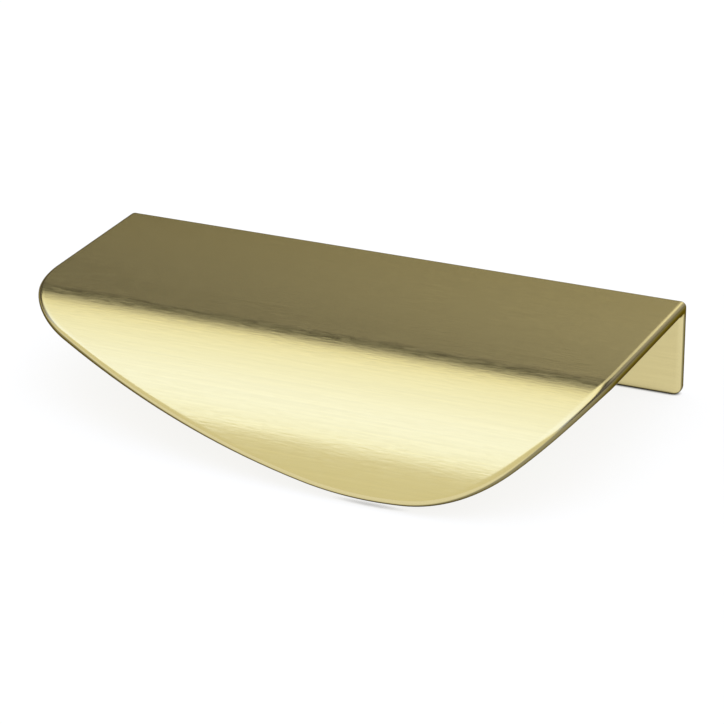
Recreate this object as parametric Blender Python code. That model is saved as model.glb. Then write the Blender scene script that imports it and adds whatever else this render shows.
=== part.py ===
"""Edge pull in brushed brass for the top edge of a drawer or door front.

The pull is one solid piece, an extruded L section with a curved lip. The flange screws
to the back of the front, the flat top lies on the front's edge, and the lip curves
forward and down over it. The extrusion is trimmed to a lopsided rounded outline, which
was laid out flat, and its whole rim is rounded over.

Frame: the origin is on the flange's mounting face, midway between the screw holes.
+X runs along the front, -Y points forward past the lip, and +Z is up.
"""

import math
from typing import NamedTuple

import bmesh
import bpy
from mathutils import Vector

# Section of the extrusion
LENGTH = 0.100
THICKNESS = 0.0022
FLANGE_HEIGHT = 0.016
FLAT_DEPTH = 0.035
LIP_RADIUS = 0.030
HEEL_RADIUS = 0.0010
SEAT_RADIUS = 0.0005

# Outline of the lip, laid out flat and followed from the left end round to the right
LEFT_SIDE_DEPTH = 0.0271
SHOULDER_RADIUS = 0.0237
SHOULDER_TURN = math.radians(60.2)
BROW_TURN = math.radians(19.4)
BRIDGE_RADIUS = 0.0637
BRIDGE_TURN = math.radians(15.3)
NOSE_RADIUS = 0.0222
NOSE_TURN = math.radians(47.1)
FLANK_RADIUS = 0.0392

# Rounding of the rim, at most so much of the wall, and of the flange's lower corners
EDGE_RADIUS = 0.0010
EDGE_SHARE = 0.48
FLANGE_CORNER_RADIUS = 0.0015
CORNER_MARGIN = 0.0002

# Countersunk screw holes through the flange
SCREW_SPACING = 0.064
SCREW_HOLE_RADIUS = 0.0021
SCREW_HEAD_RADIUS = 0.0040
COUNTERSINK_ANGLE = math.radians(90.0)

# Fineness of the curves
ARC_STEP = math.radians(6.0)
LONG_ARC_STEP = math.radians(2.0)
LIP_STEP = math.radians(3.5)
EDGE_SEGMENTS = 4
HEEL_SEGMENTS = 4
HOLE_SEGMENTS = 32
ROW_GAP = 0.0001
SHARP_ANGLE = math.radians(35.0)

# Slack in comparisons of angles, in counts of steps and between joined vertices
TINY = 0.000001
STEP_SLACK = 0.001
MERGE_DISTANCE = 0.00001

# Places that follow from the sizes
TOP = THICKNESS + (FLANGE_HEIGHT - THICKNESS) / 2
REAR = THICKNESS
EDGE = min(EDGE_RADIUS, EDGE_SHARE * THICKNESS)
CORNER = max(FLANGE_CORNER_RADIUS, EDGE + CORNER_MARGIN)
SEAT = THICKNESS + SEAT_RADIUS
UPRIGHT = SEAT + HEEL_RADIUS

BRASS_COLOR = (0.63, 0.53, 0.24, 1.0)
BRASS_ROUGHNESS = 0.3


class Arc(NamedTuple):
    """A circle arc of the flat outline, between two headings counted from +s to +x."""

    centre_x: float
    centre_s: float
    radius: float
    start: float
    end: float

    def point(self, heading):
        """Place on the arc where the outline runs along the heading."""
        x = self.centre_x - self.radius * math.cos(heading)
        s = self.centre_s + self.radius * math.sin(heading)
        return x, s


def clear_scene():
    """Remove whatever the scene holds."""
    for thing in list(bpy.data.objects):
        bpy.data.objects.remove(thing, do_unlink=True)


def brass_material():
    """Satin brushed brass."""
    material = bpy.data.materials.new("brushed_brass")
    material.use_nodes = True
    shader = material.node_tree.nodes["Principled BSDF"]
    shader.inputs["Base Color"].default_value = BRASS_COLOR
    shader.inputs["Metallic"].default_value = 1.0
    shader.inputs["Roughness"].default_value = BRASS_ROUGHNESS
    material.diffuse_color = BRASS_COLOR
    return material


def outline_arcs():
    """Arcs of the outline at the rim's crest, from the flange's left corner to its right one.

    The long brow arc takes what is left of the length, so the outline always closes.
    """
    turns = [SHOULDER_TURN, BROW_TURN, BRIDGE_TURN, NOSE_TURN]
    headings = [0.0] + [sum(turns[:k + 1]) for k in range(len(turns))] + [math.pi]
    spans = [math.cos(a) - math.cos(b) for a, b in zip(headings, headings[1:])]
    radii = [SHOULDER_RADIUS, 0.0, BRIDGE_RADIUS, NOSE_RADIUS, FLANK_RADIUS]
    taken = sum(radius * span for radius, span in zip(radii, spans))
    radii[1] = (LENGTH - taken) / spans[1]

    low = CORNER - FLANGE_HEIGHT
    left = -LENGTH / 2 + CORNER
    arcs = [Arc(left, low, CORNER, -math.pi / 2, 0.0)]
    x, s = -LENGTH / 2, LEFT_SIDE_DEPTH
    for radius, start, end in zip(radii, headings, headings[1:]):
        arc = Arc(x + radius * math.cos(start), s - radius * math.sin(start), radius, start, end)
        arcs.append(arc)
        x, s = arc.point(end)
    arcs.append(Arc(-left, low, CORNER, math.pi, 1.5 * math.pi))
    return arcs


def inset(arcs, distance):
    """The same outline moved inwards, where the flat of the wall begins."""
    return [arc._replace(radius=arc.radius - distance) for arc in arcs]


def steps(start, end, step):
    """Evenly spaced values from start to end, no further apart than the step."""
    count = max(1, math.ceil((end - start) / step - STEP_SLACK))
    return [start + (end - start) * k / count for k in range(count + 1)]


def border_heading(arcs, s, right):
    """Heading of the outline on one side, where it crosses the line at s."""
    for arc in arcs:
        ratio = (s - arc.centre_s) / arc.radius
        if abs(ratio) > 1.0 + TINY:
            continue
        heading = math.asin(max(-1.0, min(1.0, ratio)))
        if right:
            heading = math.pi - heading
        if arc.start - TINY <= heading <= arc.end + TINY:
            return arc, heading
    return None, math.pi if right else 0.0


def border_point(arcs, s, right):
    """Place on one side of the outline at s, with the heading there."""
    arc, heading = border_heading(arcs, s, right)
    if arc is None:
        half = LENGTH / 2 - EDGE
        return (half if right else -half), s, heading
    return arc.point(heading)[0], s, heading


def row_positions(arcs, tip_s):
    """Distances s at which rows run across the plate, close where anything curves."""
    rows = []
    for arc in arcs:
        step = LONG_ARC_STEP if arc.radius > LENGTH / 2 else ARC_STEP
        rows += [arc.point(heading)[1] for heading in steps(arc.start, arc.end, step)]
    bend = (tip_s - FLAT_DEPTH) / LIP_RADIUS
    rows += [FLAT_DEPTH + LIP_RADIUS * angle for angle in steps(0.0, bend, LIP_STEP)]
    rows += steps(-HEEL_RADIUS, HEEL_RADIUS, 2 * HEEL_RADIUS / HEEL_SEGMENTS)
    rows += [-UPRIGHT, UPRIGHT]
    lowest = EDGE - FLANGE_HEIGHT
    rounded = {ROW_GAP * round(s / ROW_GAP) for s in rows}
    inner = [s for s in rounded if lowest + ROW_GAP / 2 < s < tip_s - ROW_GAP / 2]
    return [lowest] + sorted(inner)


def inner_distance(s):
    """Distance along the inside of the wall that faces the outside at s, near the heel."""
    span = UPRIGHT - HEEL_RADIUS
    return SEAT + (abs(s) - HEEL_RADIUS) * (UPRIGHT - SEAT) / span


def section_point(s, depth):
    """Point of the section in Y and Z: s runs over the outside, depth goes into the wall."""
    if s > FLAT_DEPTH:
        angle = (s - FLAT_DEPTH) / LIP_RADIUS
        radius = LIP_RADIUS - depth
        y = REAR - FLAT_DEPTH - radius * math.sin(angle)
        return y, TOP - LIP_RADIUS + radius * math.cos(angle)
    share = depth / THICKNESS
    if abs(s) < HEEL_RADIUS:
        angle = math.pi / 4 * (1 + s / HEEL_RADIUS)
        outer = Vector((REAR - HEEL_RADIUS, TOP - HEEL_RADIUS))
        outer += HEEL_RADIUS * Vector((math.cos(angle), math.sin(angle)))
        inner = Vector((-SEAT_RADIUS, TOP - SEAT))
        inner += SEAT_RADIUS * Vector((math.cos(angle), math.sin(angle)))
        return tuple(outer.lerp(inner, share))
    along = abs(s)
    if along < UPRIGHT:
        along += (inner_distance(s) - along) * share
    if s > 0:
        return REAR - along, TOP - depth
    return REAR - depth, TOP - along


def rim_profile():
    """Round-over of the rim: how far out and how deep each of its points lies."""
    turn = steps(0.0, math.pi / 2, math.pi / 2 / EDGE_SEGMENTS)
    upper = [(EDGE * math.sin(a), EDGE * (1 - math.cos(a))) for a in turn]
    lower = [(out, THICKNESS - depth) for out, depth in reversed(upper)]
    return upper + lower


def rim_spoke(mesh, x, s, heading):
    """Vertices round the rim from the outer to the inner surface at one border point."""
    spoke = []
    for out, depth in rim_profile():
        y, z = section_point(s + out * math.sin(heading), depth)
        spoke.append(mesh.verts.new((x - out * math.cos(heading), y, z)))
    return spoke


def pull_mesh():
    """Closed mesh of the plate: rows across both surfaces, closed by the rounded rim."""
    arcs = inset(outline_arcs(), EDGE)
    foremost = next(arc for arc in arcs if arc.start <= math.pi / 2 <= arc.end)
    tip_x, tip_s = foremost.point(math.pi / 2)
    rows = row_positions(arcs, tip_s)

    mesh = bmesh.new()
    left = [rim_spoke(mesh, *border_point(arcs, s, False)) for s in rows]
    right = [rim_spoke(mesh, *border_point(arcs, s, True)) for s in rows]
    tip = rim_spoke(mesh, tip_x, tip_s, math.pi / 2)

    loop = left + [tip] + right[::-1]
    for spoke, following in zip(loop, loop[1:] + loop[:1]):
        for near, far, far_next, near_next in zip(spoke, spoke[1:], following[1:], following):
            mesh.faces.new((near, far, far_next, near_next))
    for side in (0, -1):
        for k in range(len(rows) - 1):
            corners = (left[k], left[k + 1], right[k + 1], right[k])
            mesh.faces.new([spoke[side] for spoke in corners])
        mesh.faces.new([spoke[side] for spoke in (left[-1], tip, right[-1])])
    bmesh.ops.recalc_face_normals(mesh, faces=mesh.faces)
    return mesh


def to_object(name, mesh):
    """Put a finished mesh into the scene under a name."""
    data = bpy.data.meshes.new(name)
    mesh.to_mesh(data)
    mesh.free()
    thing = bpy.data.objects.new(name, data)
    bpy.context.scene.collection.objects.link(thing)
    return thing


def screw_cutter(name, x):
    """Turned cutter for one screw hole, with its countersink on the flange's rear face."""
    sink = (SCREW_HEAD_RADIUS - SCREW_HOLE_RADIUS) / math.tan(COUNTERSINK_ANGLE / 2)
    beyond = THICKNESS
    profile = [
        (0.0, -beyond),
        (SCREW_HOLE_RADIUS, -beyond),
        (SCREW_HOLE_RADIUS, REAR - sink),
        (SCREW_HEAD_RADIUS, REAR),
        (SCREW_HEAD_RADIUS, REAR + beyond),
        (0.0, REAR + beyond),
    ]
    mesh = bmesh.new()
    verts = [mesh.verts.new((radius, y, 0.0)) for radius, y in profile]
    edges = [mesh.edges.new(pair) for pair in zip(verts, verts[1:])]
    bmesh.ops.spin(mesh, geom=verts + edges, axis=(0, 1, 0), cent=(0, 0, 0),
                   angle=2 * math.pi, steps=HOLE_SEGMENTS, use_merge=True)
    bmesh.ops.remove_doubles(mesh, verts=mesh.verts, dist=MERGE_DISTANCE)
    bmesh.ops.recalc_face_normals(mesh, faces=mesh.faces)
    cutter = to_object(name, mesh)
    cutter.location.x = x
    cutter.hide_render = True
    cutter.display_type = "WIRE"
    return cutter


def edge_pull():
    """The whole pull, with its two screw holes."""
    pull = to_object("edge_pull", pull_mesh())
    pull.data.materials.append(brass_material())
    for side in (-1, 1):
        label = "left" if side < 0 else "right"
        cut = pull.modifiers.new("screw_hole_" + label, "BOOLEAN")
        cut.operation = "DIFFERENCE"
        cut.solver = "EXACT"
        cut.object = screw_cutter("screw_cutter_" + label, side * SCREW_SPACING / 2)
    pull.data.shade_smooth()
    pull.data.set_sharp_from_angle(angle=SHARP_ANGLE)
    return pull


def main():
    """Model the pull in an emptied scene."""
    clear_scene()
    edge_pull()


main()
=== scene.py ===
# %% [markdown]
# # Edge pull in brushed brass
# The pull hooks over the top edge of a drawer front. A flange is screwed to the back of the
# front, a flat top lies on its edge, and a lip rolls forward and down where the fingers go.
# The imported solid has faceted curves. This lesson models the same piece again with fine,
# smooth curves, gives it a brushed finish and lights it as in a small product studio.

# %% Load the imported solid
import math

import bmesh
import bpy
from mathutils import Matrix, Vector


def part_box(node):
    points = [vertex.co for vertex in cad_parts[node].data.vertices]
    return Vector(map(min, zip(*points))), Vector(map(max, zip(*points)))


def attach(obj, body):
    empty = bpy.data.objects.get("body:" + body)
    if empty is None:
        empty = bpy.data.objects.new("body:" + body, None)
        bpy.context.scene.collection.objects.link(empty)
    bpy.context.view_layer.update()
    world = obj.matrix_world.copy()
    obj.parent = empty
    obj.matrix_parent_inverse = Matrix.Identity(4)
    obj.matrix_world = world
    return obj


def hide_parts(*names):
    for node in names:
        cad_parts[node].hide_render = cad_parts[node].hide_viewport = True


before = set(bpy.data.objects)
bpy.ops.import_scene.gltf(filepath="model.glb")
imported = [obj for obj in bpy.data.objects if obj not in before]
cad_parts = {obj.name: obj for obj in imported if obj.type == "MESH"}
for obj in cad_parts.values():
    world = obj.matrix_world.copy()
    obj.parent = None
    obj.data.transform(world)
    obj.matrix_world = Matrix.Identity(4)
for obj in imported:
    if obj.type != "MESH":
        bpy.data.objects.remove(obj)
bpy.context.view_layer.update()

# %% [markdown]
# ## Sizes
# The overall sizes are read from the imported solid, so the new piece always fits it. Its
# origin lies on the front of the flange, one wall away from the rear face, which gives the
# wall. The outline was laid out flat, before the lip was bent, as five arcs that run into
# each other. The long arc over the left half takes what is left of the length, so the
# outline always closes.

# %% Sizes of the section and of the flat outline
low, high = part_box("edge_pull")
LENGTH = high.x - low.x
REAR = high.y
WALL = REAR
TOP = high.z
BOTTOM = low.z

FLAT_DEPTH = 0.035
LIP_RADIUS = 0.030
HEEL_RADIUS = 0.00105
SEAT_RADIUS = 0.0005
EDGE_RADIUS = 0.0010
FLANGE_CORNER_RADIUS = 0.0015

LEFT_SIDE_DEPTH = 0.0271
SHOULDER = (0.0237, math.radians(60.2))
BROW_TURN = math.radians(19.4)
BRIDGE = (0.0637, math.radians(15.3))
NOSE = (0.0222, math.radians(47.1))
FLANK_RADIUS = 0.0392


def outline_arcs():
    """Radius and turn of each arc of the flat outline, from the left side round to the right."""
    turns = [SHOULDER[1], BROW_TURN, BRIDGE[1], NOSE[1]]
    turns.append(math.pi - sum(turns))
    headings = [sum(turns[:count]) for count in range(len(turns) + 1)]
    spans = [math.cos(a) - math.cos(b) for a, b in zip(headings, headings[1:])]
    radii = [SHOULDER[0], 0.0, BRIDGE[0], NOSE[0], FLANK_RADIUS]
    taken = sum(radius * span for radius, span in zip(radii, spans))
    radii[1] = (LENGTH - taken) / spans[1]
    return list(zip(radii, turns))


print("wall", round(1000 * WALL, 2), "mm, long arc", round(1000 * outline_arcs()[1][0]), "mm")

# %% [markdown]
# ## Drawing the blank
# The maker of such a pull cuts its outline first and works on the edges afterwards. In
# Blender an outline can be drawn from one vertex: Extrude draws the straight runs and Spin
# draws the arcs, each about its own centre, so every arc runs on from the last one without
# a corner. A curve object would also do, but its handles hide the real radii.

# %% One vertex at the back left corner
ARC_STEP = math.radians(1.0)


def edit_only(thing):
    """Make a thing the one that the next operators change, in edit mode."""
    if bpy.context.mode != "OBJECT":
        bpy.ops.object.mode_set(mode="OBJECT")
    bpy.ops.object.select_all(action="DESELECT")
    bpy.context.view_layer.objects.active = thing
    thing.select_set(True)
    bpy.ops.object.mode_set(mode="EDIT")


def pick(kind, test):
    """Select only the verts, edges or faces that pass a test, and say how many there are."""
    modes = {"verts": "VERT", "edges": "EDGE", "faces": "FACE"}
    bpy.ops.mesh.select_mode(type=modes[kind])
    bpy.ops.mesh.select_all(action="DESELECT")
    data = bpy.context.object.data
    shape = bmesh.from_edit_mesh(data)
    chosen = [element for element in getattr(shape, kind) if not element.hide and test(element)]
    for element in chosen:
        element.select_set(True)
    shape.select_flush_mode()
    bmesh.update_edit_mesh(data)
    return len(chosen)


bpy.ops.object.select_all(action="DESELECT")
bpy.ops.mesh.primitive_plane_add(size=WALL, location=(-LENGTH / 2, REAR, TOP))
pull = bpy.context.object
pull.name = "brushed_edge_pull"
bpy.ops.object.transform_apply(location=True, rotation=True, scale=True)
edit_only(pull)
bpy.ops.mesh.select_all(action="SELECT")
bpy.ops.mesh.merge(type="CENTER")
print("drawing starts from", len(bmesh.from_edit_mesh(pull.data).verts), "vertex")

# %% The outline as straight runs and arcs
def pen():
    """Where the end of the outline that is being drawn lies."""
    shape = bmesh.from_edit_mesh(bpy.context.object.data)
    return next(vert.co.copy() for vert in shape.verts if vert.select)


def draw_run(travel):
    """Draw on in a straight line."""
    bpy.ops.mesh.extrude_region_move(TRANSFORM_OT_translate={"value": travel})


def draw_arc(radius, turn, heading):
    """Draw on in an arc that turns to the left of the heading, as seen from above."""
    centre = pen() + radius * Vector((math.cos(heading), math.sin(heading), 0.0))
    bpy.ops.mesh.spin(steps=math.ceil(turn / ARC_STEP), angle=-turn, center=centre, axis=(0, 0, 1))


draw_run((0, -LEFT_SIDE_DEPTH, 0))
facing = 0.0
for arc_radius, arc_turn in outline_arcs():
    draw_arc(arc_radius, arc_turn, facing)
    facing += arc_turn
draw_run((0, REAR - pen().y, 0))
print("outline ends at", [round(1000 * value, 3) for value in pen()], "mm")

# %% [markdown]
# ## From the blank to a plate with a flange
# The real pull is an extrusion, so its flange and its plate are one piece with a square outer
# corner. Extruding the filled outline down by the wall gives the plate. A bisecting cut then
# marks a strip as deep as the wall along the back of the underside, and extruding that strip
# down gives the flange, so no second piece has to be joined on.

# %% The plate
AXIS_TOLERANCE = 0.00001
ALIGNED = 0.9999
FLAT_ANGLE = math.radians(0.1)


def faces_along(face, direction, place):
    """Whether a face looks along a direction and lies at a distance along it."""
    direction = Vector(direction)
    looks = face.normal.dot(direction) > ALIGNED
    return looks and abs(face.calc_center_median().dot(direction) - place) < AXIS_TOLERANCE


bpy.ops.mesh.select_all(action="SELECT")
bpy.ops.mesh.edge_face_add()
bpy.ops.mesh.extrude_region_move(TRANSFORM_OT_translate={"value": (0, 0, -WALL)})
bpy.ops.mesh.select_all(action="SELECT")
bpy.ops.mesh.normals_make_consistent(inside=False)
print("undersides", pick("faces", lambda face: faces_along(face, (0, 0, -1), WALL - TOP)))

# %% The flange
bpy.ops.mesh.bisect(plane_co=(0, REAR - WALL, 0), plane_no=(0, 1, 0), threshold=AXIS_TOLERANCE)


def is_flange_strip(face):
    """Whether a face is the strip of the underside that the flange grows from."""
    behind = face.calc_center_median().y > REAR - WALL
    return behind and faces_along(face, (0, 0, -1), WALL - TOP)


print("strips", pick("faces", is_flange_strip))
bpy.ops.mesh.extrude_region_move(TRANSFORM_OT_translate={"value": (0, 0, BOTTOM - TOP + WALL)})
bpy.ops.mesh.select_all(action="SELECT")
bpy.ops.mesh.dissolve_limited(angle_limit=FLAT_ANGLE)
bpy.ops.mesh.select_all(action="SELECT")
bpy.ops.mesh.normals_make_consistent(inside=False)
print("faces", len(bmesh.from_edit_mesh(pull.data).faces))

# %% [markdown]
# ## Corners and the rounded rim
# The corner between flange and plate is nearly square outside, with a tight fillet inside,
# and the flange's lower corners are rounded. After that only the two long loops round the
# rim are sharp, so selecting by angle finds just them, and one bevel rounds the whole rim to
# nearly a full half circle, as the photographed edge shows.

# %% Corners of the section and of the flange
CORNER_SEGMENTS = 8


def edge_at(edge, **place):
    """Whether both ends of an edge lie at the given coordinates."""
    return all(
        abs(getattr(vert.co, axis) - value) < AXIS_TOLERANCE
        for vert in edge.verts
        for axis, value in place.items()
    )


def is_flange_corner(edge):
    """Whether an edge is one of the flange's two lower corners."""
    across = abs(edge.verts[0].co.x) > LENGTH / 2 - AXIS_TOLERANCE
    return across and edge_at(edge, z=BOTTOM) and edge_at(edge, x=edge.verts[0].co.x)


pick("edges", lambda edge: edge_at(edge, y=REAR, z=TOP))
bpy.ops.mesh.bevel(offset=HEEL_RADIUS, segments=CORNER_SEGMENTS, affect="EDGES")
pick("edges", lambda edge: edge_at(edge, y=REAR - WALL, z=TOP - WALL))
bpy.ops.mesh.bevel(offset=SEAT_RADIUS, segments=CORNER_SEGMENTS, affect="EDGES")
print("flange corners", pick("edges", is_flange_corner))
bpy.ops.mesh.bevel(offset=FLANGE_CORNER_RADIUS, segments=CORNER_SEGMENTS, affect="EDGES")

# %% The rim
RIM_SEGMENTS = 10
RIM_ANGLE = math.radians(60.0)

bpy.ops.mesh.select_mode(type="EDGE")
bpy.ops.mesh.select_all(action="DESELECT")
bpy.ops.mesh.edges_select_sharp(sharpness=RIM_ANGLE)
print("rim edges", sum(edge.select for edge in bmesh.from_edit_mesh(pull.data).edges))
bpy.ops.mesh.bevel(offset=EDGE_RADIUS, segments=RIM_SEGMENTS, affect="EDGES")
bpy.ops.object.mode_set(mode="OBJECT")
print("rim vertices", sum(vert.select for vert in pull.data.vertices))

# %% [markdown]
# ## Marking the rim for its finish and its painted dark line
# The faces of the real pull are brushed, while its rounded rim is smoother. Along the rim's
# middle the colour is also darkened: a painted reflection of dark surroundings. The material
# needs to know where the rim is. The bevel leaves its own vertices selected, and while the
# plate is still flat their depth in the wall is easy to read. So each gets a number in an
# attribute: 0 beside a face, and 1 halfway round.

# %% The mark
def rim_mark(vert):
    """How close a vertex is to the middle of the rim, from 0 at its edges to 1."""
    depth = min(TOP - vert.co.z, REAR - vert.co.y)
    halfway = 1.0 - abs(2.0 * depth / WALL - 1.0)
    return max(0.0, halfway) if vert.select else 0.0


rim = pull.data.attributes.new("rim", "FLOAT", "POINT")
for vert, mark in zip(pull.data.vertices, rim.data):
    mark.value = rim_mark(vert)
print("marked", sum(mark.value > 0.0 for mark in rim.data), "of", len(rim.data), "vertices as rim")

# %% [markdown]
# ## Rows for the bend
# A flat face can't bend until it has rows of edges across it. Insetting the flat faces first
# leaves a narrow ring beside the rim, which keeps the smooth shading of the rim out of the
# flats. The rest is hidden, so the cuts stop at that ring and never run into the rim.

# %% A ring beside the rim, and rows across the lip
RING_WIDTH = 0.0002
ROW_TURN = math.radians(1.25)


def is_skin(face):
    """Whether a face runs the length of the pull above the rounded bottom of the flange."""
    across = [vert.co.x for vert in face.verts]
    above = face.calc_center_median().z > BOTTOM + EDGE_RADIUS
    return above and max(across) - min(across) > LENGTH / 2


edit_only(pull)
print("skin faces", pick("faces", is_skin))
bpy.ops.mesh.inset(thickness=RING_WIDTH, depth=0.0)
bpy.ops.mesh.hide(unselected=True)
tip = min(vert.co.y for vert in bmesh.from_edit_mesh(pull.data).verts)
reach = REAR - FLAT_DEPTH - tip
row_gap = LIP_RADIUS * ROW_TURN
rows = [-RING_WIDTH] + [row_gap * count for count in range(math.ceil(reach / row_gap))]
for row in rows:
    bpy.ops.mesh.select_all(action="SELECT")
    place = (0, REAR - FLAT_DEPTH - row, 0)
    bpy.ops.mesh.bisect(plane_co=place, plane_no=(0, 1, 0), threshold=AXIS_TOLERANCE)
bpy.ops.mesh.reveal(select=False)
bpy.ops.object.mode_set(mode="OBJECT")
print("rows", len(rows), "and the lip is", round(1000 * reach, 2), "mm long")

# %% [markdown]
# ## Rolling the lip
# The lip is a stretch of a cylinder. The Simple Deform modifier bends a mesh exactly so: the
# outer surface keeps its length, and everything past the start line turns about one axis. An
# empty gives that line. Its Z points forward along the plate and its Y points down.

# %% Bend
def apply_modifier(thing, modifier):
    """Make a modifier's result the thing's own mesh."""
    bpy.ops.object.select_all(action="DESELECT")
    bpy.context.view_layer.objects.active = thing
    thing.select_set(True)
    bpy.ops.object.modifier_apply(modifier=modifier.name)


bpy.ops.object.empty_add()
bend_line = bpy.context.object
forward, down = Vector((0, -1, 0)), Vector((0, 0, -1))
turned = Matrix((down.cross(forward), down, forward)).transposed()
bend_line.matrix_world = Matrix.Translation((0, REAR - FLAT_DEPTH, TOP)) @ turned.to_4x4()
bend = pull.modifiers.new("lip", "SIMPLE_DEFORM")
bend.deform_method = "BEND"
bend.deform_axis = "X"
bend.origin = bend_line
bend.angle = reach / LIP_RADIUS
bend.limits = (FLAT_DEPTH / (FLAT_DEPTH + reach), 1.0)
apply_modifier(pull, bend)
bpy.data.objects.remove(bend_line)
print("lip turns", round(math.degrees(reach / LIP_RADIUS), 1), "degrees")

# %% [markdown]
# ## Screw holes
# Two countersunk screws put in from behind hold the flange. Each hole is cut by a Boolean
# with a cutter shaped like the drill: a circle that is extruded down to the rear face, drawn
# in to the hole's width over the countersink, and then extruded straight through.

# %% Drill and countersink
SCREW_SPACING = 0.064
HOLE_RADIUS = 0.0021
HEAD_RADIUS = 0.0040
COUNTERSINK_ANGLE = math.radians(90.0)
HOLE_SEGMENTS = 64


def screw_cutter(x):
    """A closed cutter of the shape that the countersinking drill leaves at one hole."""
    bpy.ops.object.select_all(action="DESELECT")
    bpy.ops.mesh.primitive_circle_add(
        vertices=HOLE_SEGMENTS, radius=HEAD_RADIUS, fill_type="NGON",
        location=(x, REAR + WALL, 0), rotation=(math.pi / 2, 0, 0),
    )
    cutter = bpy.context.object
    bpy.ops.object.transform_apply(location=True, rotation=True, scale=True)
    edit_only(cutter)
    bpy.ops.mesh.select_all(action="SELECT")
    bpy.ops.mesh.extrude_region_move(TRANSFORM_OT_translate={"value": (0, -WALL, 0)})
    sink = (HEAD_RADIUS - HOLE_RADIUS) / math.tan(COUNTERSINK_ANGLE / 2)
    bpy.ops.mesh.extrude_region_move(TRANSFORM_OT_translate={"value": (0, -sink, 0)})
    narrower = HOLE_RADIUS / HEAD_RADIUS
    centre = (x, REAR - sink, 0)
    bpy.ops.transform.resize(value=(narrower, 1, narrower), center_override=centre)
    bpy.ops.mesh.extrude_region_move(TRANSFORM_OT_translate={"value": (0, -2 * WALL, 0)})
    bpy.ops.mesh.select_all(action="SELECT")
    bpy.ops.mesh.normals_make_consistent(inside=False)
    bpy.ops.object.mode_set(mode="OBJECT")
    return cutter


for side in (-1, 1):
    drill = screw_cutter(side * SCREW_SPACING / 2)
    hole = pull.modifiers.new("screw_hole", "BOOLEAN")
    hole.operation = "DIFFERENCE"
    hole.solver = "EXACT"
    hole.object = drill
    apply_modifier(pull, hole)
    bpy.data.objects.remove(drill)
print("triangles", sum(len(face.vertices) - 2 for face in pull.data.polygons))

# %% [markdown]
# ## No rim finish at the holes
# A Boolean makes new vertices at the cuts and may hand them rim marks from elsewhere on the
# mesh, which would show as creases round the holes. The new vertices are easy to find by
# their distance from the two screws' axes, so their marks are set back to 0.

# %% Clear the marks at the holes
def at_a_hole(place):
    """Whether a place in the flange lies within a screw head's radius of a screw's axis."""
    off_axis = math.hypot(abs(place.x) - SCREW_SPACING / 2, place.z)
    in_flange = place.y > REAR - WALL - AXIS_TOLERANCE
    return in_flange and off_axis < HEAD_RADIUS + AXIS_TOLERANCE


cleared = 0
for vert, mark in zip(pull.data.vertices, pull.data.attributes["rim"].data):
    if at_a_hole(vert.co):
        mark.value = 0.0
        cleared += 1
print("cleared", cleared, "vertices")

# %% [markdown]
# ## Smooth shading
# The rim, the lip and the fillets are meant to look round, while the edges of the holes are
# crisp. Shading by angle does both: it smooths where faces meet at a small angle and keeps
# the steeper edges sharp, with no extra rows of edges.

# %% Smooth shading with sharp hole edges
SHARP_ANGLE = math.radians(30.0)

bpy.ops.object.select_all(action="DESELECT")
bpy.context.view_layer.objects.active = pull
pull.select_set(True)
bpy.ops.object.shade_smooth_by_angle(angle=SHARP_ANGLE)
print("sharp edges", sum(edge.use_edge_sharp for edge in pull.data.edges))

# %% [markdown]
# ## One layer of brushing
# The real pull is brushed along its length. That leaves fine parallel scratches of many
# widths, which spread a reflection across them and make it streaky. A noise texture squeezed
# across the grain and stretched along it looks like this, and the cells of a Voronoi texture
# squeezed the same way give short dashes. A node group makes both, and its inputs set the
# sizes, so the material can use it several times.

# %% A node group and its sockets
STREAK_SIZES = {"Length": 0.010, "Width": 0.0002, "Shift": 0.0, "Detail": 3.0}

brush_streaks = bpy.data.node_groups.new("brush_streaks", "ShaderNodeTree")
sockets = brush_streaks.interface
for name, value in STREAK_SIZES.items():
    socket = sockets.new_socket(name=name, in_out="INPUT", socket_type="NodeSocketFloat")
    socket.default_value = value
for name in ("Streaks", "Dashes"):
    sockets.new_socket(name=name, in_out="OUTPUT", socket_type="NodeSocketFloat")
print("group sockets", [item.name for item in sockets.items_tree])

# %% Coordinates counted in streaks
def put(tree, value, socket):
    """Link another node's output to a socket, or set the value that the socket holds."""
    if isinstance(value, bpy.types.NodeSocket):
        tree.links.new(value, socket)
    else:
        socket.default_value = value


def calculate(tree, operation, *values):
    """The output of a new Math node that works on numbers or on other nodes' outputs."""
    step = tree.nodes.new("ShaderNodeMath")
    step.operation = operation
    for value, socket in zip(values, step.inputs):
        put(tree, value, socket)
    return step.outputs[0]


def add_up(tree, first, second):
    """The output of a new Vector Math node that adds two places or two colours."""
    total = tree.nodes.new("ShaderNodeVectorMath")
    total.operation = "ADD"
    put(tree, first, total.inputs[0])
    put(tree, second, total.inputs[1])
    return total.outputs[0]


def counted_in_streaks(tree, sizes):
    """Object coordinates in streak lengths along X and in streak widths across it."""
    place = tree.nodes.new("ShaderNodeTexCoord")
    split = tree.nodes.new("ShaderNodeSeparateXYZ")
    put(tree, place.outputs["Object"], split.inputs[0])
    squeezed = tree.nodes.new("ShaderNodeCombineXYZ")
    for axis, size in (("X", "Length"), ("Y", "Width"), ("Z", "Width")):
        count = calculate(tree, "DIVIDE", split.outputs[axis], sizes[size])
        put(tree, count, squeezed.inputs[axis])
    return squeezed.outputs[0]


streak_sizes = brush_streaks.nodes.new("NodeGroupInput").outputs
unshifted = counted_in_streaks(brush_streaks, streak_sizes)
streak_place = add_up(brush_streaks, unshifted, streak_sizes["Shift"])
print("coordinates take", len(brush_streaks.nodes), "nodes")

# %% Streaks from noise, and dashes from cells
NOISE_ROUGHNESS = 0.55

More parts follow.
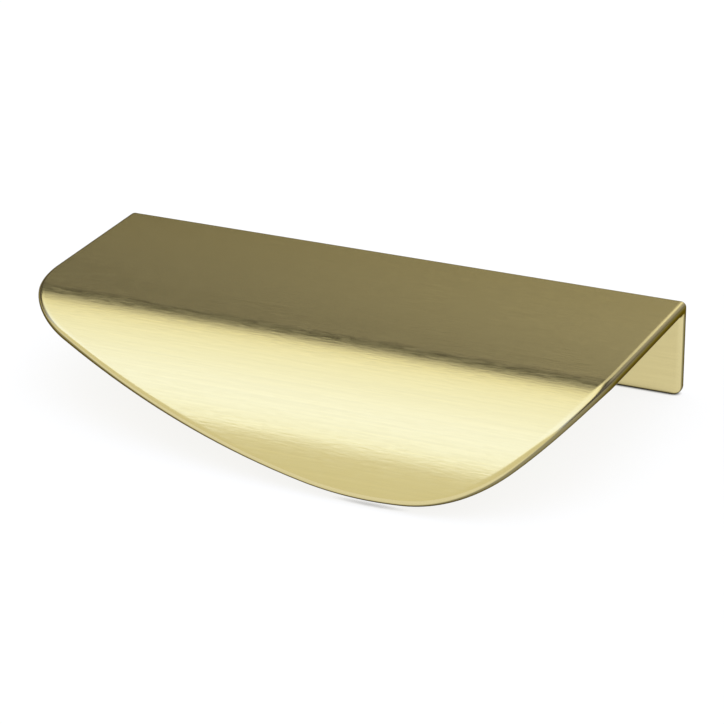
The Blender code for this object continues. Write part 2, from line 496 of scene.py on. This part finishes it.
noise = brush_streaks.nodes.new("ShaderNodeTexNoise")
cells = brush_streaks.nodes.new("ShaderNodeTexVoronoi")
for texture in (noise, cells):
    put(brush_streaks, 1.0, texture.inputs["Scale"])
    put(brush_streaks, streak_place, texture.inputs["Vector"])
put(brush_streaks, NOISE_ROUGHNESS, noise.inputs["Roughness"])
put(brush_streaks, streak_sizes["Detail"], noise.inputs["Detail"])
shades = brush_streaks.nodes.new("ShaderNodeSeparateColor")
put(brush_streaks, cells.outputs["Color"], shades.inputs[0])
results = brush_streaks.nodes.new("NodeGroupOutput").inputs
put(brush_streaks, noise.outputs["Fac"], results["Streaks"])
put(brush_streaks, shades.outputs["Red"], results["Dashes"])
print("group has", len(brush_streaks.nodes), "nodes")

# %% [markdown]
# ## Brushed brass
# A metal has no colour beside its reflections: its base colour tints what it mirrors. So
# Metallic is 1, and the look lies in the tint, the roughness and the scratches. Specular Tint
# is the tint at flat angles, and a dark one keeps the metal from turning white there. The
# long streaks change the tint a little, the dashes change the roughness, which breaks up the
# edge of a reflection, and a Bump node turns the streaks into shallow scratches. On the rim
# the marks bring in a smoother finish, and a painted reflection darkens the colour along its
# middle.

# %% The metal
BRASS = (0.68, 0.59, 0.30, 1.0)
EDGE_TINT = (0.22, 0.19, 0.15, 1.0)

brass = bpy.data.materials.new("brushed_brass")
brass.use_nodes = True
brass.diffuse_color = BRASS
brass_tree = brass.node_tree
metal = brass_tree.nodes["Principled BSDF"].inputs
put(brass_tree, 1.0, metal["Metallic"])
put(brass_tree, EDGE_TINT, metal["Specular Tint"])
print("material", brass.name)

# %% Layers of brushing
DASHES = {"Length": 0.0017, "Width": 0.00036}
FINE_STREAKS = {"Length": 0.0022, "Width": 0.00036, "Detail": 3.0}
LONG_STREAKS = {"Length": 0.030, "Width": 0.00030, "Detail": 2.0, "Shift": 7.3}


def brushing(sizes, output):
    """The streaks or the dashes of a new layer of brushing in the brass."""
    layer = brass_tree.nodes.new("ShaderNodeGroup")
    layer.node_tree = brush_streaks
    for name, value in sizes.items():
        put(brass_tree, value, layer.inputs[name])
    return layer.outputs[output]


dashes = brushing(DASHES, "Dashes")
fine_streaks = brushing(FINE_STREAKS, "Streaks")
long_streaks = brushing(LONG_STREAKS, "Streaks")
print("layers of brushing", sum(node.type == "GROUP" for node in brass_tree.nodes))

# %% Colour
STREAK_RANGE = (0.3, 0.7)
STREAK_TONES = (0.98, 1.02)
# Painted reflection: over this range of rim marks the brass colour darkens into a dark line along
# the rim's middle.
PAINTED_RIM_SHADE_RANGE = (0.38, 0.55)
PAINTED_RIM_SHADE = 0.40


def remap(tree, value, source, target):
    """The output of a new Map Range node that takes values from one range to another."""
    moved = tree.nodes.new("ShaderNodeMapRange")
    put(tree, value, moved.inputs["Value"])
    for end, name in zip(source + target, ("From Min", "From Max", "To Min", "To Max")):
        put(tree, end, moved.inputs[name])
    return moved.outputs["Result"]


def blend(tree, share, first, second, kind="FLOAT", way="MIX"):
    """The output of a new Mix node, which mixes a share of the second value into the first."""
    mix = tree.nodes.new("ShaderNodeMix")
    mix.data_type = kind
    mix.blend_type = way
    for value, name in ((share, "Factor"), (first, "A"), (second, "B")):
        put(tree, value, mix.inputs[name])
    return mix.outputs["Result"]


# The rim marks also paint shade into the base colour: a dark line along the rim's middle stands in
# for the dark surroundings that the rounded edge would mirror.
rim_marks = brass_tree.nodes.new("ShaderNodeAttribute")
rim_marks.attribute_name = "rim"
painted_rim_shade = remap(brass_tree, rim_marks.outputs["Fac"], PAINTED_RIM_SHADE_RANGE, (1.0, PAINTED_RIM_SHADE))
streak_tone = remap(brass_tree, long_streaks, STREAK_RANGE, STREAK_TONES)
tone = calculate(brass_tree, "MULTIPLY", streak_tone, painted_rim_shade)
put(brass_tree, blend(brass_tree, 1.0, BRASS, tone, "RGBA", "MULTIPLY"), metal["Base Color"])
print("tone on the faces", STREAK_TONES, "and along the rim", PAINTED_RIM_SHADE)

# %% Roughness
ROUGHNESS = 0.232
ROUGHNESS_SPREAD = 0.039
RIM_ROUGHNESS = 0.18
POLISH_STARTS = (0.0, 0.05)

polish = remap(brass_tree, rim_marks.outputs["Fac"], POLISH_STARTS, (0.0, 1.0))
brushed_range = (ROUGHNESS - ROUGHNESS_SPREAD, ROUGHNESS + ROUGHNESS_SPREAD)
brushed = remap(brass_tree, dashes, (0.0, 1.0), brushed_range)
put(brass_tree, blend(brass_tree, polish, brushed, RIM_ROUGHNESS), metal["Roughness"])
print("roughness", [round(value, 3) for value in brushed_range], "and on the rim", RIM_ROUGHNESS)

# %% Scratches
LONG_SHARE = 0.10
RIM_HEIGHT = 0.8
SCRATCH_DEPTH = 0.000016

scratches = calculate(brass_tree, "MULTIPLY_ADD", long_streaks, LONG_SHARE, fine_streaks)
bump = brass_tree.nodes.new("ShaderNodeBump")
put(brass_tree, 1.0, bump.inputs["Strength"])
put(brass_tree, SCRATCH_DEPTH, bump.inputs["Distance"])
put(brass_tree, blend(brass_tree, polish, scratches, RIM_HEIGHT), bump.inputs["Height"])
put(brass_tree, bump.outputs["Normal"], metal["Normal"])
print("scratches up to", round(1e6 * SCRATCH_DEPTH, 1), "micrometres deep")

# %% The finish on the pull
pull.data.materials.clear()
pull.data.materials.append(brass)
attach(pull, "root")
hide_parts("edge_pull")
print("finish", pull.data.materials[0].name)

# %% [markdown]
# ## The white floor
# The photographed pull lies on plain white. A sheet of white paper would come out grey here
# and show a strong shadow, so the paper is dark and glows by itself. Light Path shows that
# glow only to the camera and to mirrored or refracted rays, so it lights nothing else.
# Ambient Occlusion takes it away close to the pull, and over a longer reach in what the
# metal mirrors, which leaves a light shadow for the pull to stand on.

# %% Floor
FLOOR_SIZE = 8.0

bpy.ops.object.select_all(action="DESELECT")
bpy.ops.mesh.primitive_plane_add(size=FLOOR_SIZE, location=(0, 0, BOTTOM))
floor = bpy.context.object
floor.name = "floor"
print("floor at", round(1000 * BOTTOM, 1), "mm")

# %% Paper
PAPER_COLOR = (0.17, 0.167, 0.16, 1.0)
PAPER_ROUGHNESS = 0.9
PAPER_GLOW = 0.84
GLOW_COLOR = (1.0, 1.0, 1.0, 1.0)
GLOW_RETURNS = (0.15, 0.60)
CONTACT_REACH = 0.0012
MIRRORED_REACH = 0.012
CONTACT_SAMPLES = 16


def paper_glow(tree):
    """How strongly the paper glows, by who looks and by how close the pull is."""
    path = tree.nodes.new("ShaderNodeLightPath").outputs
    seen = path["Is Camera Ray"]
    for ray in ("Is Glossy Ray", "Is Transmission Ray"):
        seen = calculate(tree, "MAXIMUM", seen, path[ray])
    contact = tree.nodes.new("ShaderNodeAmbientOcclusion")
    contact.samples = CONTACT_SAMPLES
    reach = remap(tree, path["Is Glossy Ray"], (0.0, 1.0), (CONTACT_REACH, MIRRORED_REACH))
    put(tree, reach, contact.inputs["Distance"])
    glow = remap(tree, contact.outputs["AO"], GLOW_RETURNS, (0.0, PAPER_GLOW))
    return calculate(tree, "MULTIPLY", seen, glow)


def white_paper():
    """Dark paper with a white glow that fades next to the pull."""
    material = bpy.data.materials.new("white_paper")
    material.use_nodes = True
    tree = material.node_tree
    paper = tree.nodes["Principled BSDF"].inputs
    put(tree, PAPER_COLOR, paper["Base Color"])
    put(tree, PAPER_ROUGHNESS, paper["Roughness"])
    put(tree, 0.0, paper["Specular IOR Level"])
    put(tree, GLOW_COLOR, paper["Emission Color"])
    put(tree, paper_glow(tree), paper["Emission Strength"])
    return material


floor.data.materials.append(white_paper())
print("paper", floor.data.materials[0].name)

# %% [markdown]
# ## The room
# Metal shows what stands round it. The flat top mirrors the low part of the wall behind the
# pull, and the lip mirrors what lies above it, over the ceiling to the front. Walls could be
# modelled, but a colour ramp in the world is quicker to adjust. It is read by the angle round
# the X axis, from the horizon behind over the ceiling to the horizon in front: a dim wall
# with a dark band above it, a bluish ceiling and a warm, pale front. Low on the wall behind,
# a lit panel fades out to both sides, so the top is lightest where it mirrors its middle.

# %% Colours round the room
ROOM = (
    (25.0, (0.20, 0.197, 0.29)),
    (27.5, (0.038, 0.036, 0.038)),
    (40.4, (0.065, 0.059, 0.05)),
    (44.0, (0.60, 0.52, 0.32)),
    (56.0, (0.55, 0.56, 0.62)),
    (70.0, (0.54, 0.58, 0.77)),
    (95.0, (0.63, 0.73, 1.27)),
    (112.0, (0.60, 0.69, 1.10)),
    (121.0, (0.93, 0.915, 0.79)),
)
ROOM_PEAK = 1.5


def room_colors(tree, around):
    """The room's colour by an angle in radians, as a share of its peak."""
    ramp = tree.nodes.new("ShaderNodeValToRGB")
    put(tree, calculate(tree, "DIVIDE", around, math.pi), ramp.inputs["Fac"])
    stops = ramp.color_ramp.elements
    while len(stops) < len(ROOM):
        stops.new(1.0)
    for stop, (angle, color) in zip(stops, ROOM):
        stop.position = angle / 180.0
        stop.color = (*(level / ROOM_PEAK for level in color), 1.0)
    return ramp.outputs["Color"]


room = bpy.data.worlds.new("studio_room")
room.use_nodes = True
room_tree = room.node_tree
toward = room_tree.nodes.new("ShaderNodeSeparateXYZ")
directions = room_tree.nodes.new("ShaderNodeTexCoord")
put(room_tree, directions.outputs["Generated"], toward.inputs[0])
around = calculate(room_tree, "ARCTAN2", toward.outputs["Z"], toward.outputs["Y"])
walls = room_colors(room_tree, around)
print("room colours", len(ROOM))

# %% The lit panel
PANEL_TOP = math.radians(25.7)
PANEL_MIDDLE = -0.05
PANEL_REACH = 0.60
PANEL_STRENGTH = 0.99


def lit_panel(tree, across, around):
    """The light that the panel adds, as a share of the room's peak."""
    sideways = calculate(tree, "ABSOLUTE", calculate(tree, "SUBTRACT", across, PANEL_MIDDLE))
    fade = remap(tree, sideways, (0.0, PANEL_REACH), (PANEL_STRENGTH / ROOM_PEAK, 0.0))
    low_down = calculate(tree, "LESS_THAN", around, PANEL_TOP)
    return calculate(tree, "MULTIPLY", fade, low_down)


panel = lit_panel(room_tree, toward.outputs["X"], around)
background = room_tree.nodes["Background"].inputs
put(room_tree, add_up(room_tree, walls, panel), background["Color"])
put(room_tree, ROOM_PEAK, background["Strength"])
bpy.context.scene.world = room
print("panel up to", round(math.degrees(PANEL_TOP), 1), "degrees")

# %% [markdown]
# ## A softbox overhead
# The broad pale band on the lip is a large, soft light that the metal mirrors. An area light
# is such a light: it has a size, and a reflection shows it. Where it starts and ends is given
# by the elevation of its back and front edges as seen from the pull, because these decide
# where on the lip the band lies.

# %% Softbox
SOFTBOX_HEIGHT = 1.0
SOFTBOX_WIDTH = 4.0
SOFTBOX_COLOR = (0.89, 0.955, 1.0)
SOFTBOX_RADIANCE = 0.90
SOFTBOX_BACK_ELEVATION = math.radians(41.3)
SOFTBOX_FRONT_ELEVATION = math.radians(59.5)

back = SOFTBOX_HEIGHT / math.tan(SOFTBOX_BACK_ELEVATION)
front = -SOFTBOX_HEIGHT / math.tan(SOFTBOX_FRONT_ELEVATION)
softbox_depth = back - front
softbox = bpy.data.objects.new("softbox", bpy.data.lights.new("softbox", "AREA"))
softbox.data.shape = "RECTANGLE"
softbox.data.size = SOFTBOX_WIDTH
softbox.data.size_y = softbox_depth
softbox.data.color = SOFTBOX_COLOR
softbox.data.energy = SOFTBOX_RADIANCE * math.pi * SOFTBOX_WIDTH * softbox_depth
softbox.location = (0, (back + front) / 2, TOP + SOFTBOX_HEIGHT)
bpy.context.scene.collection.objects.link(softbox)
print("softbox", round(softbox_depth, 2), "m deep,", round(softbox.data.energy, 1), "W")

# %% [markdown]
# ## A light for the rim
# In the photograph a thin bright line runs along the rounded edge at the right. The curve of
# that edge can mirror what the flat faces can't, such as a small round light that stands
# behind the pull, outside what the top mirrors. So this light draws the line, and leaves the
# rest of the pull as it is.

# %% Rim light
RIM_LIGHT_DISTANCE = 1.2
RIM_LIGHT_SIZE = 0.55
RIM_LIGHT_RADIANCE = 0.8
RIM_LIGHT_TOWARD = Vector((0.05, 0.84, 0.54)).normalized()

rim_light = bpy.data.objects.new("rim_light", bpy.data.lights.new("rim_light", "AREA"))
rim_light.data.shape = "DISK"
rim_light.data.size = RIM_LIGHT_SIZE
rim_light.data.energy = RIM_LIGHT_RADIANCE * math.pi * math.pi * RIM_LIGHT_SIZE ** 2 / 4
rim_light.location = RIM_LIGHT_DISTANCE * RIM_LIGHT_TOWARD
rim_light.rotation_euler = RIM_LIGHT_TOWARD.to_track_quat("Z", "Y").to_euler()
bpy.context.scene.collection.objects.link(rim_light)
print("rim light", round(rim_light.data.energy, 2), "W")

# %% [markdown]
# ## The camera
# Edges that are parallel on the pull run together in the photograph, and how fast they do so
# tells where the camera stood: more than half a metre away, to the right of the front, and
# looking down at 23 degrees. A long lens from there fills the picture with the pull. The
# Standard view transform shows the colours as they are lit, with no film look on top.

# %% Camera
CAMERA_AZIMUTH = math.radians(24.07)
CAMERA_ELEVATION = math.radians(23.15)
CAMERA_PLACE = (0.2115, -0.4872, 0.2176)
CAMERA_LENS = 172.2
SENSOR_WIDTH = 36.0

camera = bpy.data.objects.new("camera", bpy.data.cameras.new("camera"))
camera.location = CAMERA_PLACE
camera.rotation_euler = (math.pi / 2 - CAMERA_ELEVATION, 0, CAMERA_AZIMUTH)
camera.data.lens = CAMERA_LENS
camera.data.sensor_width = SENSOR_WIDTH
bpy.context.scene.collection.objects.link(camera)
bpy.context.scene.camera = camera
bpy.context.scene.view_settings.view_transform = "Standard"
print("camera", round(math.degrees(CAMERA_AZIMUTH), 1), round(math.degrees(CAMERA_ELEVATION), 1))
